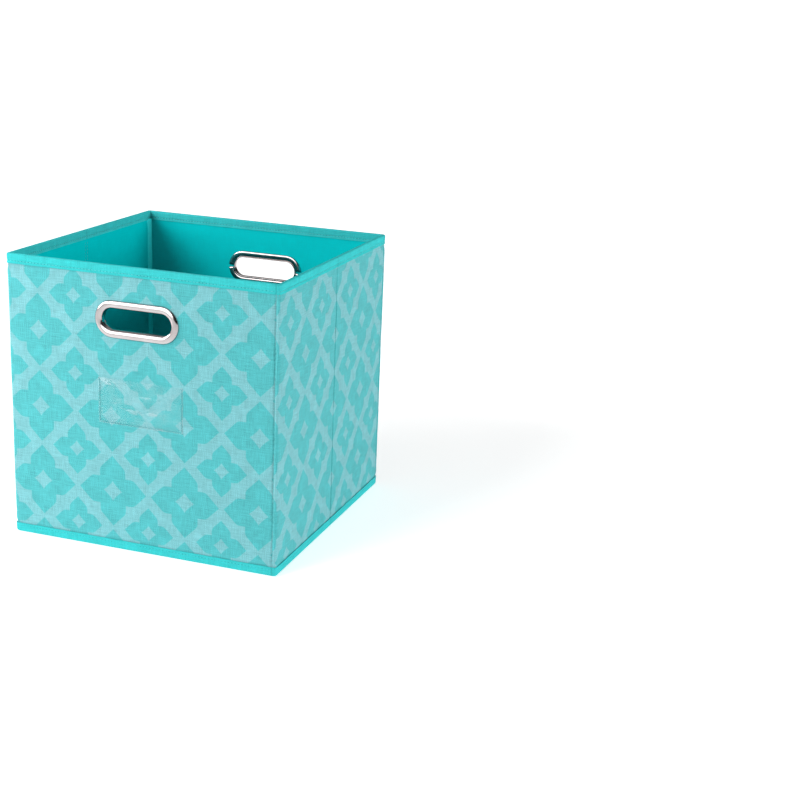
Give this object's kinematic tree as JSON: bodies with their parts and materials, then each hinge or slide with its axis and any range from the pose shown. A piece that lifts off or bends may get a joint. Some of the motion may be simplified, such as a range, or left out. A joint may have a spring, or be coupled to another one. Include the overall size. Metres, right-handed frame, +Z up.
{
  "type": "fabric storage bin",
  "caption": "Open cube-shaped fabric storage bin with stiffened folding walls, ring handles, a clear label pocket and a loose floor insert.",
  "frame": {"origin": "centre of the footprint, on the surface that the bin stands on", "axes": "+Z up; -Y out of the front wall, which has the label pocket; +X to the right seen from the front"},
  "size_m": [0.324, 0.3294, 0.324],
  "materials": {
    "printed_fabric": "matte",
    "plain_fabric": "matte",
    "binding_tape": "matte",
    "cardboard": "matte",
    "chrome": "polished",
    "clear_film": "gloss"
  },
  "bodies": {
    "front_wall": {"front_board": "cardboard", "front_outer_fabric": "printed_fabric", "front_lining": "plain_fabric", "front_top_binding": "binding_tape", "front_bottom_binding": "binding_tape", "front_handle_outer_ring": "chrome", "front_handle_inner_ring_upper": "chrome", "front_handle_inner_ring_lower": "chrome", "label_pocket": "clear_film", "base_fabric": "plain_fabric", "front_left_corner_web": "printed_fabric", "front_right_corner_web": "printed_fabric"},
    "left_front_panel": {"left_front_board": "cardboard", "left_front_outer_fabric": "printed_fabric", "left_front_lining": "plain_fabric", "left_front_top_binding": "binding_tape", "left_front_bottom_binding": "binding_tape"},
    "left_rear_panel": {"left_rear_board": "cardboard", "left_rear_outer_fabric": "printed_fabric", "left_rear_lining": "plain_fabric", "left_rear_top_binding": "binding_tape", "left_rear_bottom_binding": "binding_tape"},
    "right_front_panel": {"right_front_board": "cardboard", "right_front_outer_fabric": "printed_fabric", "right_front_lining": "plain_fabric", "right_front_top_binding": "binding_tape", "right_front_bottom_binding": "binding_tape"},
    "right_rear_panel": {"right_rear_board": "cardboard", "right_rear_outer_fabric": "printed_fabric", "right_rear_lining": "plain_fabric", "right_rear_top_binding": "binding_tape", "right_rear_bottom_binding": "binding_tape"},
    "back_wall": {"back_board": "cardboard", "back_outer_fabric": "printed_fabric", "back_lining": "plain_fabric", "back_top_binding": "binding_tape", "back_bottom_binding": "binding_tape", "back_handle_outer_ring": "chrome", "back_handle_inner_ring_upper": "chrome", "back_handle_inner_ring_lower": "chrome", "back_left_corner_web": "printed_fabric", "back_right_corner_web": "printed_fabric"},
    "floor_insert": {"floor_insert_board": "cardboard", "floor_insert_cover": "plain_fabric"}
  },
  "joints": [
    {"name": "wall_fold", "type": "hinge", "parent": "front_wall", "child": "left_front_panel", "pos_m": [-0.1582, -0.1482, 0], "axis": [0, 0, -1], "range_deg": [0, 89.9], "deforming": ["base_fabric", "front_left_corner_web", "front_right_corner_web", "back_left_corner_web", "back_right_corner_web", "floor_insert_board", "floor_insert_cover"]},
    {"name": "left_crease", "type": "hinge", "parent": "left_front_panel", "child": "left_rear_panel", "pos_m": [-0.1623, 0, 0], "axis": [0, 0, 1], "range_deg": [0, 180]},
    {"name": "back_left_hinge", "type": "hinge", "parent": "left_rear_panel", "child": "back_wall", "pos_m": [-0.1582, 0.1482, 0], "axis": [0, 0, -1], "range_deg": [0, 90]},
    {"name": "front_right_hinge", "type": "hinge", "parent": "front_wall", "child": "right_front_panel", "pos_m": [0.1582, -0.1482, 0], "axis": [0, 0, 1], "range_deg": [0, 90]},
    {"name": "right_crease", "type": "hinge", "parent": "right_front_panel", "child": "right_rear_panel", "pos_m": [0.1623, 0, 0], "axis": [0, 0, -1], "range_deg": [0, 180]},
    {"name": "floor_insert_tilt", "type": "hinge", "parent": "front_wall", "child": "floor_insert", "pos_m": [0, -0.1533, 0.0049], "axis": [1, 0, 0], "range_deg": [0, 90]}
  ],
  "couplings": [
    {"joint": "left_crease", "follows": "wall_fold", "ratio": 2},
    {"joint": "back_left_hinge", "follows": "wall_fold", "ratio": 1},
    {"joint": "front_right_hinge", "follows": "wall_fold", "ratio": 1},
    {"joint": "right_crease", "follows": "wall_fold", "ratio": 2},
    {"joint": "floor_insert_tilt", "follows": "wall_fold", "ratio": 1}
  ]
}
